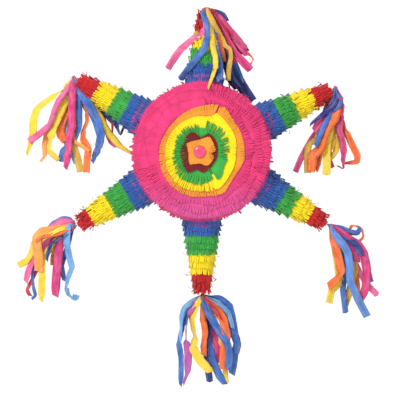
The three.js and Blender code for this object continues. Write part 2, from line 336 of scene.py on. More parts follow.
def finger(paper, place, u, step, head, long, root, rng, free, rise, lift, curl=16.0, curl_spread=18.0,
           sway=1.0, gap=0.08, wild=0.04, least=0.3):
    """One finger of a fringe, from its root's three points. The looser it is, the more it strays."""
    long *= 1 + free * rng.uniform(-0.10, 0.06)
    bend = math.radians(curl + free * rng.gauss(0, curl_spread))
    drift = free * sway * rng.gauss(0, 0.09)
    turn = free * rng.gauss(0, 0.35)
    if free > 0.5 and rng.random() < wild:
        bend += math.radians(rng.uniform(50, 170))
        drift += rng.uniform(-0.35, 0.35)
        turn += rng.uniform(-1.2, 1.2)
    slim = 1 - gap * free
    previous = root
    t, height, side = head, lift + rise * head, 0.0
    angle = math.atan(rise)
    for k in range(1, FINGER_STEPS + 1):
        v = k / FINGER_STEPS
        angle += bend / FINGER_STEPS
        t += long / FINGER_STEPS * math.cos(angle)
        height += long / FINGER_STEPS * math.sin(angle)
        side += long / FINGER_STEPS * drift * v * 2
        half = step / 2 * (slim + (1 - slim) * (0.5 if k == 1 else 0.0))
        row = []
        for j in (-1, 0, 1):
            out = height + (FINGER_CUP * free * v if j == 0 else 0) + j * half * math.sin(turn * v)
            row.append(paper.add(place(u + side + j * half * math.cos(turn * v), t, max(out, least)),
                                 u + j * step / 2, head + long * v))
        for j in range(2):
            paper.quad(previous[j], previous[j + 1], row[j + 1], row[j])
        previous = row


# ---------------------------------------------------------------- cones
STRIP, BACKING = 20.0, 13.0  # how wide a fringed strip is, and the uncut strip under it
# colour, how far a band stands off the cone, how it flares, and its share of stray fingers
BANDS = [
    ("blue", 1.6, 0.20, 0.02),
    ("green", 2.0, 0.21, 0.02),
    ("yellow", 2.6, 0.20, 0.05),
    ("red", 3.0, 0.22, 0.12),
]
FIRST_BAND_AT = 115.0
# where the fringe of each band ends along its cone
BAND_ENDS = {
    "top": (150.0, 176.0, 204.0, 243.0),
    "upper_right": (146.5, 177.0, 212.0, 243.0),
    "lower_right": (158.0, 184.5, 214.0, 243.0),
    "bottom": (144.0, 176.0, 209.0, 242.0),
    "lower_left": (147.0, 181.0, 220.0, 243.0),
    "upper_left": (149.0, 175.0, 208.0, 243.0),
}
BAND_OVERLAP = 8.0
ROW_PITCH = 10.5
BAND_PITCH = 2.7


def cone_radius(at):
    return CONE_FOOT_R + (CONE_TIP_R - CONE_FOOT_R) * (at - RIM_R) / (CONE_TIP_AT - RIM_R)


def axes(degrees):
    turn = math.radians(degrees)
    along = Vector((math.cos(turn), 0, math.sin(turn)))
    return along, Vector((-along.z, 0, along.x)), Vector((0, 1, 0))


def on_cone(degrees, start, reference):
    along, side, back = axes(degrees)

    def place(u, t, height):
        phi = u / reference
        at = start + t
        radius = cone_radius(min(at, CONE_TIP_AT + 6)) + height
        return along * at + (side * math.cos(phi) + back * math.sin(phi)) * radius
    return place


def cone_band(cone, degrees, first, last, tint, stand, flare, wild, seed):
    """One colour's band: rows of fringe from the foot to the tip, each over the one below."""
    rng = random.Random(seed)
    paper = Paper()
    rows = max(2, round((last - first) / ROW_PITCH) + 1)
    for row in range(rows):
        start = first + (last - first) * row / (rows - 1)
        reference = cone_radius(start + 8) + 1.5
        turn = 2 * math.pi * reference
        shift = rng.uniform(0, 6)
        place = on_cone(degrees, start, reference)
        fringe(paper, place, shift, turn + shift, BAND_PITCH, BACKING, BACKING, rng, loose=0.0,
               rise=flare * 0.5, lift=stand - 0.9)
        fringe(paper, place, shift, turn + shift, BAND_PITCH, 7.0, STRIP, rng, rise=flare, lift=stand,
               curl=5, curl_spread=9 + 60 * wild, sway=0.7, wild=wild)
    paper.glue(f"fringe_{tint}_{cone}", tint, f"{tint}_band_{cone}")


for number, (cone, degrees) in enumerate(CONES.items()):
    starts = (FIRST_BAND_AT,) + BAND_ENDS[cone]
    for order, (tint, *look) in enumerate(BANDS):
        cone_band(cone, degrees, starts[order] - BAND_OVERLAP, starts[order + 1] - STRIP, tint, *look,
                  1000 + 100 * number + order)


# ---------------------------------------------------------------- drum rim and the cones' feet
RIM_REFERENCE = RIM_R + 4  # the radius at which lengths round the rim are measured
RIM_PITCH = 3.3
# how far back each row on the rim begins, and how wide its strip is
RIM_ROWS = ((35.0, 12.6), (24.0, 21.0), (9.0, 21.0), (-5.0, 21.0), (-19.0, 21.0), (-33.0, 21.0),
            (-47.4, 21.0))
SEAT_R = 32.0  # a strip keeps this far from a cone's axis
COLLAR_R = 36.0
COLLAR_STRIP = 19.0


def on_rim(start):
    def place(u, t, height):
        phi = u / RIM_REFERENCE
        radius = RIM_R + 0.6 + height
        return Vector((radius * math.sin(phi), start + t, radius * math.cos(phi)))
    return place


def rim_keep(start, strip):
    """Strips are cut away round the feet of the cones, and those in front of a foot stop short."""
    def keep(u):
        phi = math.degrees(u / RIM_REFERENCE)
        for degrees in CONES.values():
            apart = (phi - (90 - degrees) + 180) % 360 - 180
            across = abs(math.radians(apart)) * RIM_REFERENCE
            if across < SEAT_R:
                half = math.sqrt(SEAT_R ** 2 - across ** 2)
                if start + 5 < half and start + strip > -half:
                    if start < -half - 8:
                        return max(0.0, (-half - start - 7) / (strip - 7))
                    return None
        return 1.0
    return keep


def on_collar(degrees):
    """From the rim round a cone's foot, and up along the cone."""
    along, side, back = axes(degrees)

    def place(u, t, height):
        phi = u / COLLAR_R
        out = side * math.cos(phi) + back * math.sin(phi)
        base = out * COLLAR_R
        drop = math.sqrt(max((RIM_R + 1.5) ** 2 - (base.dot(side)) ** 2, 0))
        start = along * drop + base
        lean = (along * 0.93 - out * 0.26).normalized()
        return start + lean * t + (out * 0.96 + along * 0.26) * (height - 2.2)
    return place


rng = random.Random(7)
paper = Paper()
for start, strip in RIM_ROWS:
    backing = min(strip, BACKING)
    around = (on_rim(start), 0, 2 * math.pi * RIM_REFERENCE, RIM_PITCH)
    fringe(paper, *around, backing, backing, rng, rise=0.06, lift=0.3, loose=0.0,
           keep=rim_keep(start, BACKING))
    fringe(paper, *around, 7.0, strip, rng, rise=0.18, lift=0.9, curl=10, curl_spread=14, sway=0.8,
           keep=rim_keep(start, strip), wild=0.02)
paper.glue("fringe_rim", "pink", "rim_fringe")

paper = Paper()
for degrees in CONES.values():
    fringe(paper, on_collar(degrees), 0, 2 * math.pi * COLLAR_R, 3.1, 5.0, COLLAR_STRIP, rng, rise=0.05,
           lift=0.4, curl=4, curl_spread=7, sway=0.5, wild=0.0)
paper.glue("fringe_collars", "collar_pink")


# ---------------------------------------------------------------- front
BULL = Vector((-3.4, 0, -1.5))  # the rings' centre, a little off the drum's
MIDDLE = Vector((0, 0, 0))
FACE_REFERENCE = 100.0  # the radius at which lengths round a ring are measured


def between(table):
    """Reads a radius off a list of (degrees, millimetres) by straight lines."""
    def read(degrees):
        for (a, ra), (b, rb) in zip(table, table[1:]):
            if a <= degrees <= b:
                return ra + (rb - ra) * (degrees - a) / (b - a)
        return table[-1][1] if degrees > table[-1][0] else table[0][1]
    return read


def on_face(inner, centre, side):
    """Flat on the front (side -1) or the back (+1)."""
    def place(u, t, height):
        phi = u / FACE_REFERENCE
        radius = inner + t
        return Vector((centre.x + radius * math.cos(phi), side * (FACE_Y + height),
                       centre.z + radius * math.sin(phi)))
    return place


def face_ring(paper, rng, inner, table, pitch, cut, base, centre=BULL, loose=1.0, side=-1, **more):
    """A strip bent into a ring. table lists the outer radius by angle, cut the share of the
    strip's width, from its outer edge, that is cut into fingers."""
    outer = between(table)
    first, last = math.radians(table[0][0]), math.radians(table[-1][0])
    middle = sum(r for _, r in table) / len(table)

    def angle(u):
        return math.degrees(u / FACE_REFERENCE)

    def width(u):
        return outer(angle(u)) - inner

    def header(u):
        return width(u) * (1 - at_u(cut, angle(u)))

    before = paper.area, paper.length
    fringe(paper, on_face(inner, centre, side), first * FACE_REFERENCE, last * FACE_REFERENCE,
           pitch * FACE_REFERENCE / middle, header, width, rng, loose=lambda u: at_u(loose, angle(u)),
           lift=base, **more)
    # the strip was measured at the reference radius, so its true area is worked out again
    turn = last - first
    mid = (inner + middle) / 2
    paper.area = before[0] + turn * mid * (middle - inner)
    paper.length = before[1] + turn * mid


def faceted(radius, corners, phase):
    """The outer radius of a strip glued down in straight runs."""
    table = []
    span = 360.0 / corners
    for degrees in range(0, 361, 4):
        off = ((degrees - phase) % span) - span / 2
        flat = math.cos(math.radians(span / 2)) / math.cos(math.radians(off))
        table.append((degrees, radius * (flat + 0.012 * math.sin(degrees * 0.11 + phase))))
    return table


def face_piece(name, tint, node, seed, *rings):
    """A piece of a face, from its rings of glued strip."""
    rng = random.Random(seed)
    paper = Paper()
    for ring, more in rings:
        face_ring(paper, rng, *ring, **more)
    paper.glue(name, tint, node)


def crescent(inside, outside):
    """A value that differs on the left, where the strips lie smooth."""
    return lambda d: inside if 84 <= d % 360 <= 196 else outside


def zone(first, last, inside, outside):
    return lambda d: inside if first <= d <= last else outside


ROUND = [(0, 112.5), (360, 112.5)]
BACKED = dict(loose=0.0, rise=0.0, centre=MIDDLE)
face_piece(
    "crepe_front_pink", "front_pink", "front_pink", 21,
    ((60, ROUND, 3.4, 0.0, 0.4), BACKED),
    ((86, [(0, 117), (20, 115.5), (45, 117), (70, 115), (90, 116), (115, 114.5), (135, 116), (160, 114),
           (180, 116), (205, 114.5), (225, 116), (250, 112.5), (270, 112), (290, 113), (315, 116.5),
           (340, 115), (360, 117)], 2.9, crescent(0.30, 0.55), 0.9),
     dict(centre=MIDDLE, loose=crescent(0.5, 0.9), rise=0.03, curl=-5, curl_spread=7, gap=0.05, sway=0.6,
          wild=0.015, least=-5.0)),
    ((74, faceted(107, 9, 30), 2.9, crescent(0.12, 0.5), 2.0),
     dict(centre=MIDDLE, loose=crescent(0.1, 0.9), rise=0.03, curl=1, curl_spread=8, gap=0.09, sway=0.7,
          wild=0.005)),
    ((60, faceted(93, 9, 8), 2.9, crescent(0.1, 0.5), 3.2),
     dict(loose=crescent(0.08, 0.85), rise=0.02, curl=1, curl_spread=7, gap=0.09, sway=0.7, wild=0.0)))

FLAT = dict(rise=0.03, curl=2, curl_spread=5, wild=0.0)
face_piece(
    "crepe_ring_orange", "orange", "front_ring_orange", 22,
    ((50, [(68, 85), (80, 80), (90, 76.5), (110, 71), (130, 66.5), (150, 65.5), (180, 68), (200, 70.5),
           (220, 73), (240, 76), (260, 76), (280, 76), (299, 81)],
      2.9, lambda d: 0.35 if d <= 100 else 0.5, 4.3),
     dict(FLAT, loose=lambda d: 0.35 if d < 150 else 0.8, curl_spread=6)),
    ((50, [(296, 79), (302, 80), (310, 75), (320, 72), (330, 71.5), (340, 73.5), (350, 76), (360, 75),
           (380, 76), (398, 77)], 2.9, 0.4, 4.6), dict(FLAT, loose=lambda d: 0.12 if d < 350 else 0.4)),
    ((52, [(393, 75), (400, 77), (410, 80), (422, 86), (426, 82)], 2.9, 0.4, 5.3), dict(FLAT, loose=0.5)))

face_piece(
    "crepe_ring_yellow", "yellow", "front_ring_yellow", 23,
    ((38, [(66, 71), (72, 63), (80, 60), (90, 60), (110, 58), (135, 57.5), (160, 57.5), (180, 57.5),
           (200, 60), (225, 64), (250, 67), (270, 66), (290, 69), (300, 66)],
      2.7, lambda d: 0.3 if d < 140 else 0.5, 5.8),
     dict(FLAT, loose=lambda d: 0.1 if d < 130 else 0.9, curl_spread=6, wild=0.01)),
    ((38, [(286, 60), (296, 70), (304, 68), (320, 64), (340, 62), (360, 61), (380, 64), (405, 66), (427, 71)],
      2.7, zone(350, 375, 0.35, 0.2), 6.2), dict(FLAT, loose=zone(350, 375, 0.6, 0.05))))

face_piece(
    "crepe_ring_green", "green", "front_ring_green", 24,
    ((18, [(0, 41), (90, 40), (180, 42), (270, 44), (360, 41)], 3.4, 0.0, 6.7), dict(loose=0.0, rise=0.0)),
    ((20, [(93, 45), (100, 47), (120, 47.6), (140, 46.8), (160, 44.5), (180, 45.5), (200, 49.4), (220, 53.8),
           (235, 55)], 2.9, 0.62, 7.2),
     dict(loose=1.1, rise=0.04, curl=4, curl_spread=12, gap=0.24, sway=1.6, wild=0.03)),
    ((20, [(235, 55), (255, 54.3), (270, 55.4), (285, 53.5), (297, 50)], 5.4, 0.5, 7.2),
     dict(loose=0.6, rise=0.04, curl=3, curl_spread=6, gap=0.12, wild=0.0)),
    ((20, [(302, 54), (308, 57), (320, 51), (330, 47.5), (345, 48.5)], 3.0, 0.3, 7.7),
     dict(loose=0.04, rise=0.03, curl=1, curl_spread=4, wild=0.0)),
    ((20, [(343, 48.5), (360, 49.5), (380, 51), (395, 54), (410, 54), (425, 52.6), (437, 55)],
      3.6, 0.62, 7.4),
     dict(loose=1.0, rise=0.04, curl=4, curl_spread=9, gap=0.26, sway=1.6, wild=0.02)))

face_piece(
    "crepe_ring_red", "dark_red", "front_ring_red", 25,
    ((10, [(0, 30), (25, 32.3), (50, 34.4), (65, 34.5), (75, 28), (85, 23.3), (95, 28), (110, 36),
           (130, 34.8), (150, 32), (180, 33.3), (200, 34.3), (225, 36.4), (240, 40.5), (252, 34),
           (262, 29.4), (272, 33), (280, 35.7), (300, 32.5), (320, 30.3), (340, 30.5), (360, 30)],
      2.4, zone(135, 215, 0.5, 0.25), 8.7),
     dict(loose=zone(135, 215, 1.0, 0.15), rise=0.05, curl=6, curl_spread=10, gap=0.3, sway=1.4, wild=0.0)))

face_piece(
    "crepe_petals", "orange", "front_petals", 26,
    ((4, [(0, 24), (5, 27.5), (20, 26.5), (35, 27.2), (56.6, 30), (75, 23.5), (90, 20.5), (103, 19.8),
          (120, 21), (135, 23.2), (149, 26), (165, 21), (187, 18.8), (205, 20.5), (220, 24), (233, 27),
          (245, 22.5), (265, 19.5), (280, 20.5), (290, 24), (301.4, 27), (320, 26), (335, 26.8),
          (346, 24), (350, 19), (360, 24)], 2.0, zone(25, 325, 0.2, 0.45), 9.9),
     dict(loose=zone(25, 325, 0.1, 0.7), rise=0.06, curl=7, curl_spread=6, gap=0.16, wild=0.0)))


def turned(name, profile, sides, frame_of, material):
    """A closed body turned from (radius, distance) pairs that start and end on the axis."""
    points, faces, rings = [], [], []
    for radius, at in profile:
        turns = [2 * math.pi * s / sides for s in range(sides if radius else 1)]
        rings.append(range(len(points), len(points) + len(turns)))
        points += [frame_of(radius * math.cos(phi), radius * math.sin(phi), at) for phi in turns]
    for lower, upper in zip(rings, rings[1:]):
        for s in range(sides):
            n = (s + 1) % sides
            if len(lower) == 1:
                faces.append((lower[0], upper[s], upper[n]))
            elif len(upper) == 1:
                faces.append((lower[s], upper[0], lower[n]))
            else:
                faces.append((lower[s], upper[s], upper[n], lower[n]))
    return mesh_piece(name, points, faces, material)


DISC = [(0, 14.4), (4.4, 14.2), (8, 13.5), (9.8, 12.4), (10.2, 11.2), (9.7, 10.4), (0, 10.2)]
disc = turned("centre_disc", DISC, 48, lambda a, b, at: Vector((BULL.x + a, -FACE_Y - at, BULL.z + b)),
              glossy_paper("glossy_pink", (236, 52, 108)))
joined(disc, "pink_disc", "star", "front_centre_disc")


# ---------------------------------------------------------------- back
FLAP_HALF_W, FLAP_TOP, FLAP_BOTTOM = 39.5, 21.0, -26.5
HOLE_HALF_W, HOLE_TOP, HOLE_BOTTOM = 42.0, 37.0, -29.0
CREASE_CLEAR = 31.0  # fingers over the crease end above this
BACK_ROW_PITCH = 12.0
GLUED = 5.0

face_piece(
    "crepe_back_outer", "pink", "back_pink_outer", 31,
    ((60, ROUND, 3.4, 0.0, 0.4), dict(BACKED, side=1)),
    *[((inner, faceted(outer, corners, phase), 3.1, 0.6, base),
       dict(centre=MIDDLE, side=1, rise=0.04, curl=6, curl_spread=11, wild=0.02))
      for inner, outer, corners, phase, base in
      ((88, 118, 10, 5, 0.8), (74, 104, 9, 20, 1.9), (61, 90, 9, 3, 3.0))])


def round_the_hole(u, high, length):
    """How much is left of a finger that starts at u, high: None where the strip is cut away."""
    if u * u + high * high > 70 ** 2 or u * u + (high - length) ** 2 > 80 ** 2:
        return None
    if abs(u) > HOLE_HALF_W + 1:
        return 1.0
    if high - GLUED > HOLE_TOP:
        return max(0.0, min(1.0, (high - GLUED - CREASE_CLEAR) / (length - GLUED)))
    return 1.0 if high < HOLE_BOTTOM else None


def back_rows(name, body, node, seed, half, top, bottom, clip):
    """Level strips on the back, each hanging over the one below."""
    rng = random.Random(seed)
    paper = Paper()
    rows = max(1, math.ceil((top - bottom) / BACK_ROW_PITCH))
    for row in reversed(range(rows)):
        high = top - row * (top - bottom) / rows
        length = min(STRIP, high - bottom + 4.0)
        backing = min(length, BACKING)

        def place(u, t, height):
            return Vector((u, FACE_Y + height, high - t))

        fringe(paper, place, -half, half, 3.1, backing, backing, rng, rise=0.0, lift=0.3, loose=0.0,
               keep=lambda u: 1.0 if clip(u, high, BACKING) == 1.0 else None)
        fringe(paper, place, -half, half, 3.1, GLUED, length, rng, rise=0.10, lift=0.9, curl=4,
               curl_spread=9, keep=lambda u: clip(u, high, length))
    paper.glue(name, "pink", node, body)


back_rows("crepe_back_inner", "star", "back_pink_inner", 32, 70, 68, -66, round_the_hole)
back_rows("crepe_flap", "flap", "flap_fringe", 33, FLAP_HALF_W, FLAP_TOP, FLAP_BOTTOM,
          lambda u, high, length: 1.0)

# ---------------------------------------------------------------- board and wire
board = cardboard("board", (196, 158, 108))
card = cardboard("rolled_card", (206, 182, 142))
for node in ("front_panel", "back_panel", "rim_band", "fill_flap"):
    bpy.data.objects[node].material_slots[0].material = board
for cone in CONES:
    bpy.data.objects[f"cone_{cone}"].material_slots[0].material = card
bpy.data.objects["hang_loop"].material_slots[0].material = steel("drawn_wire")


# ---------------------------------------------------------------- ribbons
RIBBON_THICK = 0.25
# the least width that a sheet can be declared with; the area stays the true one
NARROWEST = 10.0  # the least width of a sheet, which the script does nothing with
FOLD_R = 2.2
RUN = 24.0  # a straight run longer than this gets a slight fold
GATHERED = 24.0  # a streamer widens to its full width over this length
ACROSS = 4


def creased(route, rng):
    """Walks a route in flat runs with sharp folds, the way stiff paper hangs. Each point is three
    lengths and a twist; a run keeps one twist, and long runs are broken by a slight extra fold."""
    corners = [Vector(route[0])]
    for before, after in zip(route, route[1:]):
        before, after = Vector(before), Vector(after)
        parts = max(1, round((after.xyz - before.xyz).length / RUN))
        for k in range(1, parts + 1):
            corner = before.lerp(after, k / parts)
            if k < parts:
                corner += Vector((rng.uniform(-1.6, 1.6), rng.uniform(-0.8, 0.8), rng.uniform(-0.8, 0.8), 0))
            corners.append(corner)
    twists = [(a.w + b.w) / 2 + rng.uniform(-13, 13) for a, b in zip(corners, corners[1:])]
    walk = [corners[0].copy()]
    walk[0].w = twists[0]
    for k in range(1, len(corners) - 1):
        before, here, after = corners[k - 1], corners[k], corners[k + 1]
        back, on = (before.xyz - here.xyz).length, (after.xyz - here.xyz).length
        radius = min(FOLD_R, back * 0.4, on * 0.4)
        for far, reach, twist in ((before, back, twists[k - 1]), (after, on, twists[k])):
            spot = here.lerp(far, radius / reach)
            spot.w = twist
            walk.append(spot)
    walk.append(corners[-1].copy())
    walk[-1].w = twists[-1]
    return walk


def marks_along(samples):
    """Even steps along a walk, and its length."""
    legs = [(b.xyz - a.xyz).length for a, b in zip(samples, samples[1:])]
    length = sum(legs)
    steps = max(12, int(length / 2.6))
    marks = []
    for k in range(steps + 1):
        left, i = length * k / steps, 0
        while i < len(legs) - 1 and left > legs[i]:
            left -= legs[i]
            i += 1
        marks.append(samples[i].lerp(samples[i + 1], min(1.0, left / max(legs[i], 1e-6))))
    return marks, length


def ribbon(name, tint, body, origin, route, width, seed, end, narrow):
    """A crepe streamer through route points (dx, dz, y, twist in degrees): at no twist it lies
    face on to the front. It is gathered where it starts and may narrow to a share of its width."""
    rng = random.Random(seed)
    marks, length = marks_along(creased([tuple(p) + (0.0,) * (4 - len(p)) for p in route], rng))
    waves = [(rng.uniform(0.10, 0.30), rng.uniform(0, 6.28), rng.uniform(0.06, 0.22)) for _ in range(3)]
    crease, crease_at = rng.choice((-1, 1)) * rng.uniform(0.10, 0.26) * width, rng.choice((-0.5, 0.0, 0.5))
    kinks = [(rng.uniform(0, length), rng.uniform(-1.8, 1.8)) for _ in range(int(length / 16))]
    tail = 14.0 if narrow > 0.45 else 38.0
    paper = Paper()
    rows = []
    level = Vector((1, 0, 0))
    for k, (dx, dz, y, twist) in enumerate(marks):
        before, after = marks[max(k - 1, 0)], marks[min(k + 1, len(marks) - 1)]
        tangent = Vector((after[0] - before[0], after[2] - before[2], after[1] - before[1])).normalized()
        across = tangent.cross(Vector((0, 1, 0)))
        if across.length >= 0.2:
            level = across.normalized()
        roll = twist + 4 * math.sin(k * 0.17 + waves[0][1])
        side = Matrix.Rotation(math.radians(roll), 3, tangent) @ level
        normal = side.cross(tangent).normalized()
        s = length * k / (len(marks) - 1)
        wide = width * (0.32 + 0.68 * min(1.0, s / GATHERED))
        wide *= narrow + (1 - narrow) * min(1.0, (length - s) / tail)
        centre = Vector((origin.x + dx, origin.y + y, origin.z + dz))
        row = []
        for j in range(ACROSS + 1):
            f = j / ACROSS * 2 - 1
            slant = 0.0
            if k == len(marks) - 1:
                slant = {"square": 0.6 * rng.uniform(-1, 1), "slant": f * 2.5, "notch": -abs(f) * 2.0}[end]
            bow = 0.05 * wide * (f * f - 0.4) + crease * (abs(f - crease_at) - 0.5)
            ripple = sum(h * math.sin(s * w + p + f * 0.9) for w, p, h in waves)
            ripple += sum(h * max(0.0, 1 - abs(s + f * 4 * h - at) / 4.0) for at, h in kinks)
            row.append(paper.add(centre + side * (f * wide / 2) + normal * (bow + ripple) + tangent * slant,
                                 s, f * wide / 2))
        rows.append(row)
    for a, b in zip(rows, rows[1:]):
        for j in range(ACROSS):
            paper.quad(a[j], a[j + 1], b[j + 1], b[j])
    piece = paper.build(name, RIBBON[tint], STREAMERS[tint][2], body, body, RIBBON_THICK)
    piece.data.set_sharp_from_angle(angle=math.radians(16))
    max(width, NARROWEST) * MM


# Each streamer of a bunch: colour, width, how it ends, to what share of its width it narrows, and
# its route of (dx, dz, y, twist) from the tie.
UPPER_LEFT = [
    ("yellow", 14, "slant", 0.3, [(-20, -14, 5, 50), (-38, -26, 3, 45), (-56, -38, 2, 30),
     (-70, -50, 2, 5), (-76, -68, 3), (-77, -92, 4, -10), (-87, -127, 2, 20)]),
    ("apricot", 9, "square", 0.8, [(-34, -40, 8, 20), (-46, -68, 6), (-53, -88, 5, 20), (-58, -112, 4),
     (-57, -128, 3, 30), (-65, -138, 2, 50)]),
    ("pink", 12, "square", 1.0, [(-22, -21, -8, 20), (-34, -36, -9, 25), (-42, -56, -8, 35),
     (-50, -78, -6, 20), (-66, -92, -6, 5), (-83, -104, -5)]),
    ("yellow", 14, "square", 0.8, [(-18, -28, -1), (-28, -50, -3, 10), (-40, -76, -4, 10),
     (-46, -98, -5, 40), (-49, -120, -5, 55), (-33, -136, -4, 30)]),
    ("orange", 15, "square", 0.7, [(-13, -30, 4), (-22, -55, 3, 20), (-29, -75, 2, -10), (-30, -91, 1),
     (-22, -105, 0, 20)]),
    ("blue", 12, "notch", 1.0, [(1, -26, -5), (2, -55, -6, 15), (2, -79, -5, 30), (-7, -101, -3, 40),
     (-24, -118, -2, 10), (-29, -139, -3)]),
    ("sky_blue", 9, "square", 1.0, [(-12, -40, 9), (-18, -80, 6), (-22, -106, 3, 20), (-12, -123, 2, 40),
     (-4, -141, 0, 10)]),
    ("magenta", 12.5, "slant", 0.5, [(-9, -23, -12), (-10, -50, -14), (-10, -74, -14, 15),
     (-15, -101, -12, 20), (-17, -125, -11, 35), (-21, -150, -10, 20)]),
    ("orange", 12, "square", 1.0, [(7, -30, -3, 10), (15, -50, -4, 20), (17, -69, -5, 60),
     (10, -86, -6, 30), (9, -101, -7, 5), (18, -116, -8, -20), (16, -135, -9), (15, -157, -10)]),
    ("apricot", 9, "square", 1.0, [(-2, -60, 8), (-7, -106, -6, 40), (7, -112, -9, 60),
     (19, -122, -10, 30)]),
    ("gold", 12, "square", 1.0, [(-4, -60, 6), (-8, -108, -1, 20), (-1, -130, -2, 5), (5, -156, -3)]),
    ("blue", 15, "slant", 0.5, [(8, -24, -7), (21, -46, -9), (32, -69, -9, 10), (40, -94, -8, 10),
     (36, -114, -7, 50), (25, -140, -6, 45)]),
    ("yellow", 12, "slant", 0.35, [(19, -35, 2, 20), (39, -67, 0, 10), (53, -91, -2, 5),
     (72, -113, -3, 15), (93, -127, -4, 30)]),
    ("navy", 10, "square", 0.7, [(18, -32, 8), (42, -55, 9, 10), (62, -69, 10, 20), (67, -80, 10, 35),
     (72, -93, 8, 60), (79, -74, 5, 50), (83, -66, 4, 30)]),
    ("magenta", 9, "slant", 0.6, [(28, -46, 11), (44, -68, 10, 10), (50, -91, 8, 25), (56, -106, 6, 20),
     (65, -114, 4, 10)]),
    ("red", 5, "slant", 0.5, [(30, -46, 13), (50, -64, 13, 20), (58, -74, 13), (58, -88, 12, 30)]),
]
UPPER_RIGHT = [
    ("indigo", 10, "slant", 0.4, [(7, -9, -9), (1, -20, -11, 10), (-14, -32, -12, 20),
     (-27, -43, -11, 10), (-41, -55, -10, 30)]),
    ("magenta", 14, "slant", 0.8, [(2, -17, -2, 25), (-10, -36, -4, 20), (-24, -50, -5, 5),
     (-34, -66, -5)]),
    ("gold", 17, "square", 0.9, [(5, -30, 6), (2, -50, 3), (-1, -70, 2), (-6, -88, 1, 20),
     (-14, -104, 0, 30)]),
    ("orange", 17, "square", 0.8, [(7, -26, -7), (0, -44, -10), (-14, -63, -11, 10), (-19, -78, -12, 10),
     (-23, -94, -12, 25), (-36, -106, -11, 10), (-39, -135, -10)]),
    ("gold", 12, "square", 1.0, [(-10, -50, 6), (-28, -77, 1, 20), (-43, -88, -2, 40),
     (-46, -106, -4, 10), (-45, -137, -5)]),
    ("yellow", 14, "notch", 1.0, [(-5, -50, 0), (-12, -85, -5), (-13, -106, -7, 10), (-12, -124, -7, 5),
     (-13, -141, -7)]),
    ("gold", 11, "square", 0.8, [(5, -50, 2), (5, -88, 0, 10), (4, -98, -2, 60), (-4, -109, -3, 20),
     (-10, -115, -3)]),
    ("orange", 9, "slant", 0.8, [(-12, -60, 6), (-24, -106, 2, 30), (-25, -121, 1, 20),
     (-30, -133, 0, 20)]),
    ("rose", 10, "square", 1.0, [(-24, -60, 10), (-46, -94, 6, 20), (-56, -113, 4, 5), (-65, -135, 3)]),
    ("rose", 12, "slant", 0.4, [(9, -22, -4, 60), (11, -44, -5, 20), (9, -64, -6, 30), (15, -86, -6, 5),
     (17, -102, -5, 25), (15, -118, -3, 60), (17, -130, -2, 80), (5, -124, -2, 60)]),
    ("orange", 12, "slant", 0.6, [(13, -14, -3, 70), (16, -30, -4, 80), (15, -48, -4, 75),
     (22, -68, -3, 40), (30, -86, -2, 15), (41, -108, 0, 10), (40, -119, 2, 60), (18, -121, 4, 30)]),
    ("blue", 10, "slant", 0.7, [(-8, -40, -8), (-20, -62, -13, 20), (-26, -76, -15, 10),
     (-32, -92, -14, 20)]),
    ("rose", 9, "square", 1.0, [(-4, -60, 12), (-8, -112, 8, 10), (-2, -128, 6)]),
    ("blue", 11, "slant", 0.7, [(9, -8, -9, 10), (10, -20, -10, 20), (-2, -29, -9, 40)]),
    ("rose", 6, "slant", 0.5, [(12, -12, -9, 40), (17, -24, -9, 60), (14, -42, -8, 60),
     (17, -56, -7, 50)]),
]
LOWER_RIGHT = [
    ("blue", 11, "square", 0.9, [(20, -6, 0, 20), (38, -15, -1, 40), (50, -15, -2, 30), (54, -10, -3, 10),
     (48, -7, -4)]),
    ("orange", 6, "square", 0.8, [(30, -18, 9), (52, -30, 8, 40), (61, -22, 6, 60), (58, -8, 5, 50),
     (49, -2, 4, 60), (40, -1, 4, 40), (36, -9, 4, 20)]),
    ("magenta", 15, "slant", 0.6, [(14, -9, -5, 20), (33, -24, -6, 15), (50, -34, -6, 5), (60, -50, -5),
     (65, -75, -4, 5), (63, -106, -3, 10), (54, -130, -2, 20)]),
    ("magenta", 13, "slant", 0.8, [(21, -22, 0), (38, -40, -2, 10), (46, -52, -2), (49, -64, 0, 10)]),
    ("pink", 10, "notch", 1.0, [(40, -50, 6), (58, -90, 3, 20), (68, -104, 2, 10), (84, -121, 1)]),
    ("cornflower", 13, "square", 1.0, [(10, -17, -11), (24, -34, -13), (32, -48, -13), (35, -68, -13, 10),
     (36, -96, -12, 5), (49, -126, -11, 10), (65, -156, -10)]),
    ("blue", 10, "square", 1.0, [(20, -40, 8), (28, -84, 5, 10), (24, -112, -4, 15), (27, -135, -6, 10),
     (29, -150, -6)]),
    ("navy", 8, "slant", 0.5, [(4, -12, 1), (7, -30, 0, 30), (13, -47, 1, 60)]),
    ("orange", 15, "slant", 0.9, [(8, -22, -3), (13, -42, -6, 5), (18, -62, -7, 10), (22, -82, -7, 30),
     (11, -96, -6, 40), (-1, -106, -5, 10)]),
    ("yellow", 12, "square", 1.0, [(14, -60, 4), (21, -98, 1, 30), (5, -113, 0, 20), (1, -133, -1)]),
    ("gold", 12, "slant", 0.6, [(24, -36, 8), (44, -62, 5, 20), (46, -76, 4, 30), (36, -112, 3, 20),
     (31, -136, 2, 10)]),
    ("orange", 9, "square", 0.9, [(30, -40, 10), (47, -79, 7, 10), (50, -105, 6), (49, -118, 6)]),
    ("navy", 12, "slant", 0.6, [(24, -16, -4), (44, -32, -9, 10), (57, -53, -10, 20)]),
    ("blue", 8, "square", 1.0, [(40, -30, 5), (62, -58, 4, 20), (69, -80, 3, 40), (74, -98, 3, 30)]),
]
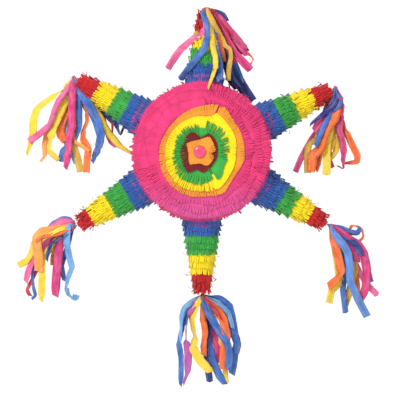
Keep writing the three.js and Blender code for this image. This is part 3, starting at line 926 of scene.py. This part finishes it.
LOWER_LEFT = [
    ("blue", 8, "slant", 0.7, [(-14, 11, 4, 30), (-29, 12, 4, 40), (-42, 4, 3, 30), (-52, -6, 2, 20)]),
    ("pink", 20, "slant", 0.7, [(-11, 4, 0), (-24, 3, -2), (-36, -4, -3, 10), (-48, -12, -3, 15),
     (-56, -22, -2, 30), (-58, -40, 0, 20)]),
    ("sky_blue", 12, "square", 1.0, [(-14, 0, -12), (-19, -13, -13), (-19, -34, -13, 10), (-15, -56, -12, 15),
     (-10, -73, -11, 35), (-17, -90, -10, 50), (-21, -108, -9, 45), (-15, -122, -9, 60),
     (-6, -127, -10, 30), (-3, -119, -12, 10)]),
    ("apricot", 16, "slant", 0.9, [(-16, -4, -8, 20), (-30, -8, -10, 10), (-46, -10, -11, 25),
     (-61, -11, -12, 30), (-70, -20, -12, 25), (-70, -36, -13, 5), (-67, -54, -13), (-66, -80, -12, 5)]),
    ("orange", 14, "slant", 0.8, [(-16, -6, -11, 20), (-30, -11, -14, 10), (-44, -15, -15, 15),
     (-60, -17, -14, 30), (-72, -26, -12, 45)]),
    ("yellow", 12, "square", 0.9, [(-50, -14, 6), (-75, -30, 3, 30), (-81, -50, 2, 40), (-90, -63, 1, 15),
     (-103, -70, 0)]),
    ("magenta", 15, "slant", 0.7, [(-14, -10, -9, 10), (-30, -25, -10, 5), (-34, -50, -10),
     (-36, -74, -9, 8), (-38, -98, -9), (-39, -122, -9, 10)]),
    ("yellow", 12, "slant", 0.5, [(-40, -30, -2), (-61, -60, -8, 20), (-61, -88, -9, 10), (-62, -110, -9),
     (-63, -130, -9, 10)]),
    ("pink", 11, "slant", 0.7, [(-50, -24, 4), (-76, -54, 0, 10), (-85, -79, -1, 5), (-90, -98, -2)]),
    ("blue", 6, "square", 0.8, [(-50, -30, 6), (-78, -69, 3, 20), (-79, -94, 2, 50), (-77, -108, 2, 20),
     (-73, -121, 1, 10), (-80, -127, 0, 30)]),
    ("red", 7, "slant", 0.8, [(-50, -40, 8), (-82, -100, 3, 60), (-88, -113, 2, 20), (-82, -122, 2)]),
    ("navy", 7, "slant", 0.7, [(-16, -15, -12, 40), (-32, -25, -14, 50), (-46, -35, -14, 40),
     (-52, -50, -12, 20), (-53, -62, -11, 10)]),
    ("orange", 10, "square", 0.8, [(-30, -30, 9), (-44, -54, 6), (-45, -70, 5)]),
    ("blue", 9, "slant", 0.8, [(-20, -40, 8), (-29, -69, 4, 15), (-24, -97, 3, 10)]),
    ("gold", 9, "slant", 0.7, [(-30, -18, 2), (-43, -36, -4, 20), (-45, -50, -5, 30)]),
    ("yellow", 8, "slant", 0.6, [(-30, -8, -15, 20), (-46, -16, -17, 25), (-60, -27, -16, 35)]),
    ("magenta", 12, "slant", 0.8, [(-30, -20, 0, 10), (-46, -30, -3, 15), (-56, -44, -4, 20),
     (-58, -56, -3)]),
]
BOTTOM = [
    ("sky_blue", 10, "slant", 0.5, [(-16, -8, 1, 20), (-30, -20, 0, 10), (-35, -36, 0, 35), (-36, -54, 0, 60),
     (-37, -78, -1, 40)]),
    ("blue", 10, "slant", 0.5, [(-24, -26, 4), (-36, -66, 3, 40), (-39, -80, 2, 25), (-35, -104, 0, 10),
     (-35, -130, -1, 30), (-36, -152, -1, 25)]),
    ("violet", 13, "slant", 0.4, [(-12, -14, -4, 30), (-22, -30, -5, 60), (-26, -54, -5, 75),
     (-26, -76, -5, 30), (-23, -99, -6, 5), (-24, -128, -6, 10), (-31, -150, -6, 40)]),
    ("yellow", 15, "slant", 0.7, [(-8, -14, -9, 40), (-17, -36, -10, 55), (-14, -56, -11, 60),
     (-10, -70, -11, 50), (-15, -86, -12, 20), (-5, -105, -12), (15, -128, -11)]),
    ("navy", 12, "notch", 0.9, [(6, -10, 3), (15, -37, 1, 10), (12, -60, 0, 20), (7, -84, 0, 15),
     (10, -116, -1, 10), (14, -146, -2)]),
    ("orange", 15, "slant", 0.8, [(12, -10, -8, 20), (26, -24, -10, 10), (36, -38, -11),
     (42, -66, -11, 10), (38, -94, -10, 15), (36, -124, -9)]),
    ("blue", 14, "slant", 0.8, [(14, -3, 1, 40), (30, -3, 0, 30), (46, -14, -1, 15), (51, -36, -2, 10),
     (56, -66, -2, 20), (61, -80, -3, 50), (55, -102, -4, 15), (51, -132, -4)]),
    ("blue", 12, "slant", 0.8, [(6, -16, -12, 10), (14, -32, -13, 15), (30, -58, -14, 15),
     (44, -80, -14, 10), (48, -100, -12, 20), (44, -124, -11, 10)]),
    ("blue", 13, "slant", 0.7, [(10, -50, 4), (12, -82, 1, 10), (19, -109, -3, 5), (29, -133, -5),
     (40, -149, -5)]),
    ("magenta", 12, "notch", 0.9, [(20, -14, 3), (38, -28, 0, 10), (44, -42, -1), (50, -70, 1, 10)]),
    ("magenta", 12, "slant", 0.8, [(16, -40, 7), (22, -70, 4, 20), (27, -90, 3, 20), (26, -112, 2)]),
    ("pink", 8, "slant", 0.7, [(40, -30, 8), (57, -56, 5, 30), (64, -74, 4, 50), (58, -88, 4, 30)]),
    ("yellow", 9, "square", 1.0, [(30, -60, 6), (39, -116, 1, 10), (40, -132, 0), (42, -147, -1)]),
    ("orange", 11, "slant", 0.8, [(3, -20, -8), (2, -42, -9, 10), (5, -60, -8, 50), (2, -82, -5, 40),
     (3, -100, -4)]),
    ("red", 8, "slant", 0.6, [(12, -10, -12, 20), (24, -24, -13, 20), (33, -38, -13, 10)]),
    ("sky_blue", 9, "slant", 0.8, [(30, -12, -5), (46, -28, -6, 20), (53, -54, -7, 30)]),
]
HANGING = {"upper_left": UPPER_LEFT, "upper_right": UPPER_RIGHT, "lower_right": LOWER_RIGHT,
           "lower_left": LOWER_LEFT, "bottom": BOTTOM}
# how far along its cone's line a bunch's routes begin, where that isn't BUNCH_START
BUNCH_START = 243.0
BUNCH_AT = {"bottom": 246.0}
# how far aside of its cone's tip a bunch falls
LEAN = {"upper_right": (5, 0, -4), "lower_right": (5, 0, -2)}
KNOT_CLEAR = 4.2  # a streamer begins this far in front of or behind its tie's axis
for cone, streamers in HANGING.items():
    tassel = f"tassel_{cone}"
    pivot = PIVOTS[f"tie_{cone}"]
    tip = axes(CONES[cone])[0] * BUNCH_AT.get(cone, BUNCH_START) + Vector(LEAN.get(cone, (0, 0, 0)))
    for n, (tint, width, end, narrow, route) in enumerate(streamers):
        depth = route[0][2]
        begin = (pivot.x - tip.x, pivot.z - tip.z + 2.0, math.copysign(KNOT_CLEAR, depth) + 0.1 * depth)
        ribbon(f"streamer_{cone}_{n + 1:02d}", tint, tassel, tip, [begin] + route, width,
               500 + 31 * n + len(cone), end, narrow)


def over_cone(x, z, layer):
    """The depth at which a streamer lies at x, z to clear the top cone and the front."""
    along, side, _ = axes(CONES["top"])
    spot = Vector((x, 0, z))
    at, off = spot.dot(along), spot.dot(side)
    radius = cone_radius(min(max(at, RIM_R), CONE_TIP_AT)) + 9.0 if at < CONE_TIP_AT + 4 else 9.5
    forward = math.sqrt(max(radius ** 2 - off ** 2, 0.0)) + layer
    if math.hypot(x, z) < 124:
        forward = max(forward, FACE_Y + 9 + layer)
    return -forward


def beside_cone(z, depth):
    """The depth of a streamer that hangs free beside the top cone: it spreads out from the knot."""
    return depth * (0.3 + 0.7 * min(1.0, (243 - z) / 25.0))


# Streamers at the top tip: strand, colour, width, how it ends, its share of width, and its route of
# (x, z, twist). The number after the width is the layer over the cone, or the depth in the right strand.
DRAPED = [
    ("left", "pink", 12, 0.5, "square", 0.9, [(6, 241), (7, 224), (9, 208), (1, 200, 10), (-15, 190, 30),
     (-36, 174, 10), (-48, 157, 5), (-58, 141)]),
    ("left", "blue", 11, 4.0, "notch", 1.0, [(6, 241), (1, 236, 20), (5, 222, 5), (9.5, 205, 40),
     (8, 190, 20), (5, 174, 5), (-13, 151), (-25, 137), (-37, 122)]),
    ("front", "gold", 9, 14.0, "square", 1.0, [(9, 243), (13, 232, 5), (19, 216, 30), (31, 197, 20),
     (39, 178, 45), (48, 173, 60), (48, 158, 60), (45, 139, 20), (44.5, 120)]),
    ("front", "yellow", 10, 3.0, "slant", 0.15, [(8, 243), (13, 220), (15, 202, 5), (18, 180),
     (22, 162, 10), (22, 146, 50), (17, 126, 70), (10, 105, 60)]),
    ("front", "gold", 9, 1.5, "slant", 0.8, [(8, 242), (12, 222), (15, 207, 10), (20, 188),
     (24, 174, 20)]),
    ("front", "orange", 11, 2.0, "slant", 0.8, [(9, 242), (18, 220, 10), (24, 205, 10), (29, 186, 25),
     (33, 170, 10), (37, 154, 30)]),
    ("front", "blue", 12, 1.2, "square", 1.0, [(8, 242), (18, 205), (24, 175), (30, 150), (31, 132),
     (31, 118)]),
    ("right", "rose", 14, -9.0, "notch", 0.9, [(15, 243), (20, 237, 20), (33, 222, 45), (50, 201, 5),
     (64, 185, 40), (76, 171, 20)]),
    ("right", "magenta", 14, -11.0, "square", 0.9, [(15, 242), (20, 227, 25), (34, 205, 40), (49, 181, 5),
     (57, 166, 35), (70, 152, 5), (83, 138, 10)]),
    ("right", "magenta", 11, -7.0, "slant", 0.9, [(15, 242), (27, 226, 10), (42, 208, 45), (56, 192, 10),
     (66, 176, 35), (77, 163, 10)]),
    ("right", "rose", 14, -3.0, "slant", 0.9, [(15, 242), (23, 228, 15), (37, 211, 5), (51, 193, 20),
     (63, 177, 10), (72, 166, 30)]),
    ("right", "red", 9, -12.0, "slant", 0.7, [(15, 242), (18, 234, 10), (28, 218, 40), (40, 204, 15),
     (46, 190, 40)]),
    ("right", "magenta", 11, -5.0, "slant", 0.7, [(15, 241), (24, 218), (34, 196, 15), (42, 178, 40),
     (50, 160, 10), (60, 152, 20)]),
    # the right strand's navy streamers hang behind the top cone: blue streamers darkened to navy as painted
    # shade
    ("right", "navy", 12, 3.0, "square", 1.0, [(14, 242), (24, 239, 10), (35, 233, 5), (41, 221, 10)]),
    ("right", "orange", 5, -6.0, "square", 0.8, [(16, 240), (40, 205), (62, 178, 20), (74, 167, 40),
     (84, 163, 60), (88, 157, 70), (83, 148, 50), (76, 146, 30)]),
    ("right", "navy", 9, 4.0, "slant", 0.7, [(16, 240), (36, 222, 20), (48, 208, 20), (62, 192, 10),
     (72, 180, 15), (78, 172, 20)]),
    ("right", "navy", 20, 22.0, "square", 1.0, [(18, 236), (26, 205), (38, 178, 10), (52, 150, 10),
     (62, 124, 15), (74, 104, 5), (86, 86)]),
    ("right", "navy", 16, 14.0, "slant", 0.9, [(18, 236), (28, 200), (38, 170, 15), (44, 146, 10),
     (50, 124, 25), (62, 108)]),
    ("right", "blue", 14, 18.0, "slant", 0.8, [(18, 236), (30, 206), (44, 172, 15), (56, 146, 10),
     (68, 118, 20)]),
]
for n, (strand, tint, width, depth, end, narrow, route) in enumerate(DRAPED):
    points = []
    for x, z, *twist in route:
        y = beside_cone(z, depth) if strand == "right" else over_cone(x, z, depth)
        points.append((x, z, y, *twist))
    ribbon(f"streamer_top_{n + 1:02d}", tint, f"strand_{strand}", MIDDLE, points, width, 900 + 17 * n, end,
           narrow)


# ---------------------------------------------------------------- ties, noses and the top knot
def gathered(name, material, slot, body, node, centre, along, profile, lobes, seed, depth):
    """Pleated, bound paper: a closed body turned round `along` with lobes that twist."""
    rng = random.Random(seed)
    side = along.orthogonal().normalized()
    other = along.cross(side)
    phases = [rng.uniform(0, 6.28) for _ in range(3)]

    def frame_of(a, b, at):
        radius = math.hypot(a, b)
        if radius > 1e-6:
            phi = math.atan2(b, a)
            pleat = (math.sin(lobes * phi + at * 0.55 + phases[0])
                     + 0.5 * math.sin((lobes + 4) * phi - at * 0.4 + phases[1])
                     + 0.3 * math.sin(3 * phi + phases[2]))
            radius *= 1 + depth * pleat / 1.8
            a, b = radius * math.cos(phi), radius * math.sin(phi)
        return centre + side * a + other * b + along * at

    piece = turned(name, profile, 56, frame_of, material)
    layer = piece.data.uv_layers.new(name="crepe")
    for loop in piece.data.loops:
        spot = Vector(piece.data.vertices[loop.vertex_index].co) - DRUM - centre * MM
        layer.data[loop.index].uv = (math.atan2(spot.dot(other), spot.dot(side)) * 0.006, spot.dot(along))
    joined(piece, slot, body, node)


THREAD_R, THREAD_AT_R, THREAD_TURNS, THREAD_RISE = 0.45, 3.9, 3, 2.0
COIL_STEPS = 20


def thread(name, material, body, centre, along):
    """Thread wound round a tie, as a closed tube."""
    side = along.orthogonal().normalized()
    other = along.cross(side)
    curve = bpy.data.curves.new(name, "CURVE")
    curve.dimensions = "3D"
    curve.bevel_depth = THREAD_R * MM
    curve.bevel_resolution = 2
    curve.use_fill_caps = True
    line = curve.splines.new("POLY")
    steps = THREAD_TURNS * COIL_STEPS
    line.points.add(steps)
    for k in range(steps + 1):
        phi = 2 * math.pi * k / COIL_STEPS
        spot = centre + (side * math.cos(phi) + other * math.sin(phi)) * THREAD_AT_R \
            + along * (THREAD_RISE * (k / steps - 0.5))
        line.points[k].co = tuple(DRUM + spot * MM) + (1.0,)
    curve.materials.append(material)
    joined(placed(name, curve), "streamer_magenta", body)


# profiles of (radius, distance along the cone)
KNOT = [(0, -5.9), (1.5, -5.4), (1.5, -3.4), (2.6, -2.0), (3.1, -0.4), (3.1, 0.8), (2.4, 2.2), (0, 3.2)]
BOW = [(0, -6.6), (7.6, -6.4), (7.0, -3.5), (5.2, -0.5), (5.8, 2.4), (4.6, 4.6), (0, 5.6)]
NOSE_AT = CONE_TIP_AT - 1.0
NOSE_TO_PIVOT = 6.5
TIE_TINTS = {"upper_right": "red", "lower_right": "blue", "bottom": "red", "lower_left": "blue",
             "upper_left": "red"}
for n, (cone, tint) in enumerate(TIE_TINTS.items()):
    along = axes(CONES[cone])[0].normalized()
    pivot = PIVOTS[f"tie_{cone}"]
    tie = f"tie_{cone}"
    gathered(f"{tie}_knot", RIBBON[tint], "streamer_magenta", tie, tie, pivot, along, KNOT, 7, 40 + n, 0.08)
    span = pivot.dot(along) - NOSE_TO_PIVOT - NOSE_AT
    nose = [(0, 0), (9.6, 0.3), (8.2, span * 0.25), (5.8, span * 0.6), (4.4, span * 0.85), (3.2, span),
            (0, span + 0.2)]
    gathered(f"nose_{cone}", CREPE["red"], "crepe_red", "star", None, along * NOSE_AT, along, nose, 9, 60 + n,
             0.12)
    thread(f"thread_{cone}", RIBBON[tint], f"tassel_{cone}", pivot, along)

along = axes(CONES["top"])[0].normalized()
gathered("top_knot_bow", RIBBON["red"], "streamer_magenta", "star", "top_knot", along * (CONE_TIP_AT + 6.5),
         along, BOW, 8, 90, 0.16)

# ---------------------------------------------------------------- stage, lights and camera
FLOOR_Z = -0.80
floor_mesh = bpy.data.meshes.new("floor")
floor_mesh.from_pydata([(-30, -12, FLOOR_Z), (30, -12, FLOOR_Z), (30, 40, FLOOR_Z), (-30, 40, FLOOR_Z)], [],
                       [(0, 1, 2, 3)])
floor_mesh.materials.append(Finish("floor_pale").surface(Base_Color=(1, 1, 1, 1), Roughness=0.9))
placed("floor", floor_mesh)

world = bpy.data.worlds.new("studio")
bpy.context.scene.world = world
world.use_nodes = True
world.node_tree.nodes["Background"].inputs["Color"].default_value = (1, 1, 1, 1)
world.node_tree.nodes["Background"].inputs["Strength"].default_value = 1.04


def area(name, spot, size, power):
    middle = DRUM + Vector((-3 * MM, 0, -70 * MM))
    light = bpy.data.lights.new(name, "AREA")
    light.energy = power
    light.size = size
    lamp = placed(name, light)
    lamp.location = middle + Vector(spot)
    lamp.rotation_euler = (middle - lamp.location).to_track_quat("-Z", "Y").to_euler()


area("key", (-1.1, -1.7, 1.3), 0.6, 42)
area("fill", (1.6, -1.8, 0.3), 1.6, 3)

CAMERA_DISTANCE = 3.4
PICTURE_WIDTH = 0.68  # metres seen across the picture at the drum
SENSOR = 36.0
camera_data = bpy.data.cameras.new("camera")
camera_data.sensor_width = SENSOR
camera_data.lens = SENSOR * CAMERA_DISTANCE / PICTURE_WIDTH
camera = placed("camera", camera_data)
camera.location = DRUM + Vector((-3 * MM, -CAMERA_DISTANCE, -82 * MM))
camera.rotation_euler = (math.radians(90), 0, 0)
bpy.context.scene.camera = camera
bpy.context.scene.view_settings.view_transform = "Standard"

bpy.context.view_layer.update()
